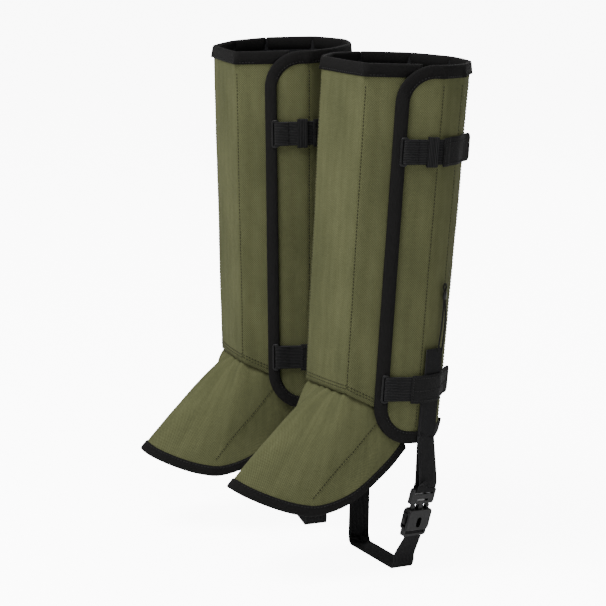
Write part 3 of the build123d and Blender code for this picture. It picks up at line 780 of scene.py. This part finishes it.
def strap_ring(leg, name, z, ring_at):
    """A rounded plastic ring lying on the flap."""
    corner = 2.0
    half_s, half_z = (RING_WIDTH - 3.0 - RING_BAR) / 2, (28.4 - RING_BAR) / 2
    line = []
    for k, (a, b) in enumerate(((1, 1), (-1, 1), (-1, -1), (1, -1))):
        for angle in np.radians(np.linspace(k * 90, k * 90 + 90, 7)):
            line.append((a * (half_s - corner) + corner * math.cos(angle),
                         b * (half_z - corner) + corner * math.sin(angle)))
    line = np.array(line)
    s = ring_at + RING_WIDTH / 2 + 1.5 + line[:, 0]
    lift = RING_LIFT + RING_THICK / 2
    centre = on_flap(s, z + line[:, 1], lift)
    outside = on_flap(s, z + line[:, 1], lift + 1.0)
    normal = unit(outside - centre)
    along = unit(np.roll(centre, -1, 0) - np.roll(centre, 1, 0))
    side = unit(np.cross(along, normal))
    angles = np.arange(12) * math.tau / 12
    squared = 1 / np.maximum(np.abs(np.cos(angles)), np.abs(np.sin(angles))) ** 0.45
    a, b = np.cos(angles) * squared * RING_BAR / 2, np.sin(angles) * squared * RING_THICK / 2
    rings = centre[:, None] + side[:, None] * a[:, None] + normal[:, None] * b[:, None]
    piece = leg.mesh(name, *tube(rings, lengths_along(centre), angles, closed=True), HARD_BLACK)
    leg.finish(piece, "flap", name, slot="black_plastic")


def keeper(leg):
    """A ribbed loop round the upper webbing, its ribs running across the strap."""
    start, stop = SIDE_LENGTH - 12.0, SIDE_LENGTH - 2.0
    low, high = 0.55, STRAP_LIFT + 2 * WEB_THICK + 0.75
    half = 13.4
    route = []
    for centre_z, centre_lift, first in ((half, high, 0), (-half, high, 90), (-half, low, 180),
                                         (half, low, 270)):
        for angle in np.radians(np.linspace(first, first + 90, 5)):
            route.append((centre_z + 0.5 * math.cos(angle), centre_lift + 0.35 * math.sin(angle)))
    route = np.array(route)
    across = np.linspace(start, stop, 41)
    rib = 0.28 * np.abs(np.sin((across - start) * math.pi / 1.25))
    rings = []
    for (z, lift), facing in zip(route, outward(np.roll(route, 1, 0), np.roll(route, -1, 0))):
        rings.append(np.concatenate((
            on_flap(across, UPPER_Z + z + facing[0] * (0.42 + rib), lift + facing[1] * (0.42 + rib)),
            on_flap(across[::-1], UPPER_Z + z - facing[0] * 0.35, lift - facing[1] * 0.35))))
    rings = np.array(rings)
    around = np.concatenate((across, across[::-1] + 20))
    piece = leg.mesh("upper_keeper", *tube(rings, lengths_along(rings[:, 0]), around, closed=True), WEBBING)
    leg.finish(piece, "flap", "upper_keeper", slot="ribbed_webbing")


def tab(leg, name, z, s, lift, stitched_at):
    """A smooth, wide tab bent round the flap, with rounded end corners and its stitching."""
    points = on_flap(s, z, lift)
    sides = up_on_flap(s, np.full(len(s), z))
    corner = 4
    reach = np.maximum(corner - (s[-1] - s), 0)
    shares = 1 - (corner - np.sqrt(np.maximum(corner ** 2 - reach ** 2, 0))) / (TAB_HEIGHT / 2)
    piece = leg.mesh(name, *band(points, sides, TAB_HEIGHT, 1.4, shares=shares), TAB)
    leg.finish(piece, name, name, slot="tab_fabric")

    def row(row_s, row_z, row_lift):
        here, above = on_flap(row_s, row_z, row_lift + 0.7), on_flap(row_s, row_z, row_lift + 1.7)
        return here, unit(above - here)

    inside = (s > s[0] + 1.5) & (s < s[-1] - corner)
    rows = [row(s[inside], z + height, lift[inside]) for height in stitched_at]
    edge = np.linspace(z - TAB_HEIGHT / 2 + 1.5, z + TAB_HEIGHT / 2 - 1.5, 30)
    rows.append(row(s[0] + 1.8, edge, np.interp(s[0] + 1.8, s, lift)))
    stitched(leg, f"{name}_stitches", name, rows, BLACK_THREAD, "tab_fabric", length=1.8, gap=0.8)


def straps(leg):
    strap(leg, "upper_strap", UPPER_Z, UPPER_RING_AT, UPPER_TAB_START + UNDER_TAB)
    strap(leg, "lower_strap", LOWER_Z, LOWER_RING_AT, LOWER_TAB_START + UNDER_TAB)
    strap_ring(leg, "upper_ring", UPPER_Z, UPPER_RING_AT)
    strap_ring(leg, "lower_ring", LOWER_Z, LOWER_RING_AT)
    keeper(leg)
    last = FLAP_LINE.length - 7.0
    s = np.linspace(UPPER_TAB_START, last, 50)
    curl = np.clip((s - last + 17) / 17, 0, 1) ** 2 * 5.0
    over_end = 3.0 / (1 + np.exp((s - UPPER_TAB_START - UNDER_TAB - 2.5) / 0.9))
    tab(leg, "upper_tab", UPPER_Z, s, 1.4 + over_end + curl, (8.6, -11.5))
    s = np.linspace(LOWER_TAB_START, last, 60)
    webbing_at = SIDE_LENGTH + WEB_ALONG
    over = np.exp(-(np.abs(s - webbing_at) / 15.5) ** 6)
    curl = np.clip((s - last + 15) / 15, 0, 1) ** 2 * 3.5
    over_end = 2.2 / (1 + np.exp((s - LOWER_TAB_START - UNDER_TAB - 2.5) / 0.9)) * (1 - over)
    tab(leg, "lower_tab", LOWER_Z, s, 2.3 + over_end + 3.4 * over + curl, (-1.5, 11.0, -11.5))


# Stirrup. The webbing leaves the flap, goes down to the buckle, round its bar and back up to a loose end.

FACING = np.array((math.sin(math.radians(BUCKLE_FACES)), -math.cos(math.radians(BUCKLE_FACES)), 0.0))
BUCKLE_UP = unit(BUCKLE_TOP - BUCKLE_FOOT)
BUCKLE_X = unit(np.cross(BUCKLE_UP, FACING))
BUCKLE_OUT = unit(np.cross(BUCKLE_X, BUCKLE_UP))


def on_buckle(up, out, back=0.0):
    return BUCKLE_TOP + BUCKLE_UP * up + BUCKLE_OUT * out + BUCKLE_X * back


def stirrup(leg):
    s = SIDE_LENGTH + WEB_ALONG
    load_z, tail_z = np.linspace(LOWER_Z + 4, 138, 9), np.linspace(138, TAIL_TOP, 14)
    down = on_flap(s, load_z, 1.7)
    up = on_flap(s, tail_z, 3.3)
    out = BUCKLE_THICK / 2 + 0.9
    turn = np.radians(np.linspace(0, 180, 9))
    under = [on_buckle(8, -out), on_buckle(2, -out)]
    bend = [on_buckle(-2.9 - 1.4 * math.sin(a), -out * math.cos(a)) for a in turn]
    back_up = [on_buckle(2, out), on_buckle(8, out)]
    line = np.concatenate((down, under, bend, back_up, up))
    flap_side = unit(on_flap(s + 2, 180, 1.0) - on_flap(s - 2, 180, 1.0))
    sides = np.array([flap_side] * len(down) + [BUCKLE_X] * (4 + len(bend)) + [flap_side] * len(up))
    piece = webbing(leg, "stirrup_webbing", line, sides, 5, WEB_THICK, 0.3)
    hinge = unit(spot(REAR_HINGE, TOP) - spot(REAR_HINGE, BACK_LOW))
    middle = spot(FLAP_SIDE, 118)
    leg.body("back")
    leg.body("flap")
    leg.row(middle - hinge * 20)
    leg.row(middle + hinge * 18)
    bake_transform(piece)
    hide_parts(leg.body("stirrup_webbing"))


SOLE_SIDE = 45.0


def sole_webbing(leg):
    """From the shell's bar down to the sole, under the shoe and up to the back panel on the other side."""
    line = [on_buckle(-46.4, 0.9), on_buckle(-50.3, 1.0), on_buckle(-55.0, 0.6)]
    line += [np.array((SOLE_SIDE + 1.6, SOLE_Y, 16.0)), np.array((SOLE_SIDE + 0.6, SOLE_Y, 8.0))]
    for turn in np.radians((30, 60, 85)):
        line.append(np.array((SOLE_HALF - 4 + 4 * math.cos(turn), SOLE_Y, SOLE_Z + 4 - 4 * math.sin(turn))))
    line += [np.array((x, SOLE_Y, SOLE_Z)) for x in (25.0, 0.0, -25.0)]
    for turn in np.radians((5, 30, 60)):
        line.append(np.array((-SOLE_HALF + 4 - 4 * math.sin(turn), SOLE_Y, SOLE_Z + 4 - 4 * math.cos(turn))))
    line += [np.array((-SOLE_SIDE - 0.6, SOLE_Y, 8.0)), np.array((-SOLE_SIDE - 1.6, SOLE_Y, 16.0))]
    line += [np.array((-58.0, SOLE_Y + 6, 90.0))]
    wall_s = np.linalg.norm(REAR - REAR_HINGE) + np.linalg.norm(REAR_RIGHT - REAR) + 22.0
    for z in (BACK_LOW - 2, BACK_LOW + 14, 165.0, LOWER_Z):
        line.append(panel_point(BACK_LINE, wall_s, z, -1.9))
    wall_side = unit(panel_point(BACK_LINE, wall_s - 3, 160, 0) - panel_point(BACK_LINE, wall_s + 3, 160, 0))
    fore_aft = np.array((0.0, 1.0, 0.0))
    sides = np.array([BUCKLE_X] * 3 + [fore_aft] * (len(line) - 7) + [wall_side] * 4)
    sides *= np.where(sides @ fore_aft < 0, -1, 1)[:, None]
    piece = webbing(leg, "sole_webbing", line, sides, 6, SOLE_THICK, 0.25)
    leg.finish(piece, "back", "sole_strap", slot="ribbed_webbing")


def round_cord(points, radius, count=10):
    tangent = unit(np.gradient(points, axis=0))
    side = unit(np.cross(tangent, (0.3, 0.2, 1.0) if abs(tangent[0, 2]) < 0.9 else (1.0, 0.0, 0.0)))
    for i in range(1, len(side)):
        carried = side[i - 1] - tangent[i] * (side[i - 1] * tangent[i]).sum()
        side[i] = carried / np.linalg.norm(carried)
    other = np.cross(tangent, side)
    angles = np.arange(count) * math.tau / count
    rings = points[:, None] + radius * (side[:, None] * np.cos(angles)[:, None]
                                        + other[:, None] * np.sin(angles)[:, None])
    return tube(rings, lengths_along(points), angles * radius)


def cord_loop(leg):
    """A thin pull cord: two strands from the tail's end to a crimp, with a small eye above it."""
    s = SIDE_LENGTH + WEB_ALONG + 9.0
    low, high = TAIL_TOP - 4.0, 294.0
    route = [(s - 5.0, low, 4.2), (s - 4.8, low + 6, 4.6), (s - 3.2, low + 30, 5.4),
             (s - 0.9, high - 13, 3.4), (s - 0.9, high - 6, 3.2), (s - 2.2, high - 1.5, 3.0),
             (s, high + 1.6, 2.8), (s + 2.2, high - 1.5, 3.0), (s + 0.9, high - 6, 3.2),
             (s + 0.9, high - 13, 3.4), (s + 1.8, low + 30, 5.4), (s + 1.8, low + 6, 4.6),
             (s + 1.8, low, 4.2)]
    flat = smooth_line(route, 10)
    points = on_flap(flat[:, 0], flat[:, 1], flat[:, 2] + 0.4)
    angles = np.arange(16) * math.tau / 16
    along, out = 2.5 * np.cos(angles), 1.6 * np.sin(angles)
    rings = np.array([on_flap(s + size * along, high - 14 + rise, 3.7 + size * out)
                      for rise, size in ((0, 0.6), (0.6, 0.9), (2, 1.0), (5, 1.0), (7.4, 0.9), (8, 0.6))])
    piece = leg.mesh("cord_loop", *round_cord(points, 0.85), CORD)
    leg.finish(piece, "flap", "cord_loop", slot="thin_cord")
    piece = leg.mesh("cord_crimp", *tube(rings, lengths_along(rings[:, 0]), angles), HARD_BLACK)
    leg.finish(piece, "flap", slot="thin_cord")


def closure_strips(leg):
    """Hook tape under the flap and loop pile inside it, with their rough faces."""
    rough = np.random.RandomState(4)
    for name, body, line, s0, s1, z0, z1, low, high in (
            ("hook_strip", "front", FRONT_LINE, FRONT_LINE.folds[3] + 36, FRONT_LINE.folds[3] + 53,
             FRONT_LOW + 12, TOP - 20, 0.0, -1.0),
            ("loop_strip", "flap", FLAP_LINE, 14, 30, BACK_LOW + 46, TOP - 20, WALL - 0.1, WALL + 0.9)):
        s, z = np.meshgrid(np.linspace(s0, s1, 18), np.linspace(z0, z1, 240))
        face = high + rough.uniform(-0.25, 0.25, s.shape)
        outer = panel_point(line, s, z, face)
        inner = panel_point(line, s, z, low)
        pair = (outer, inner) if high < low else (inner, outer)
        piece = leg.mesh(name, *slab(*pair, np.stack((s, z), -1)), PILE, smooth=False)
        leg.finish(piece, body, name, slot="hook_and_loop")


# Instep cover.

HALF_HEM = ((58, 12, 130), (57, -8, 108), (53, -42, 80), (47, -74, 68), (41, -96, 69), (31, -120, 76),
            (17, -143, 86))
HEM = [np.array(p, float) for p in HALF_HEM] + [np.array((0, -153.0, 92.0))]
HEM += [np.array((-x, y, z), float) for x, y, z in HALF_HEM[::-1]]
COVER_CLOTH = 1.4
SEAM_STOPS = (52, 38, 19, 0, -12, -22, -31, -39, -47, -56, -66, -78, -97, -115, -134)


def cover_grid(depth, share):
    """Points of the cover at each station and share of the way up from the hem, depth under its outer
    face."""
    fold = FRONT_LINE.folds[3]
    stops = fold + np.array(SEAM_STOPS, float)
    seam = spot(FRONT_LINE.place(stops) * 0.972, front_low(stops) + 3.0)
    seam, hem = smooth_line(seam, 6), smooth_line(HEM, 6)
    grid = hem[None] * (1 - share)[:, None, None] + seam[None] * share[:, None, None]
    across = unit(np.gradient(grid, axis=1))
    upward = unit(seam - hem)[None]
    normal = unit(np.cross(np.broadcast_to(upward, grid.shape), across))
    station = np.linspace(0, 1, grid.shape[1])
    ends = np.sin(math.pi * station) ** 0.5
    swell = 3.2 * np.sin(math.pi * share)[:, None] * ends[None]
    gather = np.exp(-((1 - share) / 0.22) ** 2)[:, None] * 0.9 * np.sin(station * 61)[None]
    waves = np.array([[noise.noise(Vector((k * 5.0, t * 2.5, 31))) for k in station] for t in share]) * 1.6
    tuck = -2.8 * np.exp(-((1 - share) / 0.06) ** 2)[:, None]
    lift = (swell + gather + waves) * np.minimum(1, 8 * share)[:, None] + tuck - depth
    return grid + normal * lift[..., None], normal


def sampled(grid, rows, columns):
    """Points of a grid of points at fractional rows and columns."""
    made = []
    for row, column in zip(rows, columns):
        r, c = int(min(row, grid.shape[0] - 2)), int(np.clip(column, 0, grid.shape[1] - 2))
        down, across = row - r, column - c
        upper = grid[r, c] * (1 - across) + grid[r, c + 1] * across
        lower = grid[r + 1, c] * (1 - across) + grid[r + 1, c + 1] * across
        made.append(upper * (1 - down) + lower * down)
    return np.array(made)


def cover(leg):
    """The instep cover, its bound hem and the stitched seam down each of its sides."""
    share = np.concatenate((np.linspace(0, 0.9, 40), np.linspace(0.915, 1, 8)))
    outer, normal = cover_grid(0.0, share)
    inner, _ = cover_grid(COVER_CLOTH, share)
    columns = outer.shape[1]
    if (normal[20, columns // 2] @ np.array((0, -1.0, 0.5))) < 0:
        outer, inner = inner, outer
    uv = np.stack(np.meshgrid(lengths_along(outer[10]), lengths_along(outer[:, columns // 2])), -1)
    piece = leg.mesh("instep_cover", *slab(outer, inner, uv), OLIVE)
    low, high = leg.row(spot((0.0, 0.0), 183.0)), leg.row(spot((0.0, 0.0), 150.0))
    leg.body("front")
    leg.body("cover")
    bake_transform(piece)
    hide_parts(leg.body("instep_cover"))
    hem, hem_normal = outer[0], unit(outer[0] - inner[0])
    inward = unit(outer[3] - outer[0])
    tape = folded_tape((hem, hem_normal, inward), HEM_TAPE, COVER_CLOTH)
    piece = leg.mesh("instep_binding", *tape, BINDING)
    leg.finish(piece, "cover", "instep_binding", slot="binding_tape")
    row = hem + inward * (HEM_TAPE - STITCH_INSET) + hem_normal * 0.95
    stitched(leg, "instep_binding_stitches", "cover", [(row, hem_normal)], BLACK_THREAD, "binding_tape")
    row_at = np.interp(np.linspace(0.93, 0.12, 60), share, np.arange(len(share)))
    stitches, ridges = [], []
    for first, last in ((0.045, 0.255), (0.955, 0.745)):
        at = np.linspace(first, last, 60) * (columns - 1)
        here, below = sampled(outer, row_at, at + 0.3), sampled(inner, row_at, at + 0.3)
        stitches += stitch_row(here, unit(here - below))
        here, below = sampled(outer, row_at, at), sampled(inner, row_at, at)
        ridges.append(round_cord(here - unit(here - below) * 0.1, 0.5, 8))
    for name, shapes, material in (("instep_seam_stitches", stitches, THREAD),
                                   ("instep_seam_ridges", ridges, OLIVE)):
        piece = leg.mesh(name, *joined(shapes), material)
        leg.body("front")
        leg.body("cover")
        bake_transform(piece)


for leg in (Leg("left", 1), Leg("right", -1)):
    panels(leg)
    stay_plates(leg)
    bindings(leg)
    panel_stitches(leg)
    straps(leg)
    stirrup(leg)
    sole_webbing(leg)
    cord_loop(leg)
    closure_strips(leg)
    cover(leg)

# The CAD pieces' own finishes, by what each one is made of.
FINISH = {"olive_fabric": OLIVE, "black_lining": LINING, "binding_tape": BINDING,
          "stiffener_sheet": STAY_SHEET, "ribbed_webbing": WEBBING, "tab_fabric": TAB, "hook_and_loop": PILE,
          "black_plastic": HARD_BLACK, "thin_cord": CORD}
for part in frame["record"]["subparts"]:
    solid = frame["nodes"][part["node"]]
    solid.data.materials.clear()
    solid.data.materials.append(FINISH[part["material_slot"]])

# Studio: a pale floor, a soft key from the toe side, a fill from behind the camera and a light overhead.
bpy.ops.mesh.primitive_plane_add(size=60, location=(0, 0, 0))
floor = bpy.context.object
floor.name = "studio_floor"
paper, paper_tree, paper_shader = new_material("studio_paper", 0.9, 0.1)
paper_shader.inputs["Base Color"].default_value = (0.9, 0.9, 0.9, 1)
paper_shader.inputs["Emission Color"].default_value = (1, 1, 1, 1)


def seen_or_lit(tree, seen, lit):
    """A strength that is seen where the camera looks straight at it and lit for all other light."""
    path = node(tree, "ShaderNodeLightPath")
    return ranged(tree, path.outputs["Is Camera Ray"], to_low=lit, to_high=seen)


paper_tree.links.new(seen_or_lit(paper_tree, 9.0, 0.25), paper_shader.inputs["Emission Strength"])
floor.data.materials.append(paper)


def area_light(name, place, size, power):
    """A round soft light aimed at the middle of the object."""
    data = bpy.data.lights.new(name, "AREA")
    data.shape = "DISK"
    data.size = size
    data.energy = power
    lamp = bpy.data.objects.new(name, data)
    bpy.context.collection.objects.link(lamp)
    lamp.location = place
    lamp.rotation_euler = (Vector((0, 0, 0.25)) - Vector(place)).to_track_quat("-Z", "Y").to_euler()


area_light("key", (-0.8, -2.4, 1.8), 1.2, 35)
area_light("fill", (2.6, 0.3, 1.5), 1.8, 24)
area_light("top", (0.4, -1.2, 2.6), 1.6, 138)
area_light("rear", (-1.8, 1.6, 1.6), 1.4, 25)

world = bpy.data.worlds.new("studio_air")
world.use_nodes = True
air = world.node_tree
background = air.nodes["Background"]
background.inputs["Color"].default_value = (1, 1, 1, 1)
air.links.new(seen_or_lit(air, 16.0, 0.45), background.inputs["Strength"])
bpy.context.scene.world = world

camera_data = bpy.data.cameras.new("photo_camera")
SENSOR, IMAGE_WIDTH, FOCAL_LENGTH = 36, 606, 2158.5  # the last two in the same unit, a pixel
camera_data.sensor_width = SENSOR
camera_data.lens = SENSOR * FOCAL_LENGTH / IMAGE_WIDTH
camera = bpy.data.objects.new("photo_camera", camera_data)
bpy.context.collection.objects.link(camera)
azimuth, downward = math.radians(68.92), math.radians(12.59)
camera.location = (2.0117, -0.7717, 0.7352)
level = math.cos(downward)
looking = Vector((-math.sin(azimuth) * level, math.cos(azimuth) * level, -math.sin(downward)))
camera.rotation_euler = looking.to_track_quat("-Z", "Y").to_euler()
bpy.context.scene.camera = camera
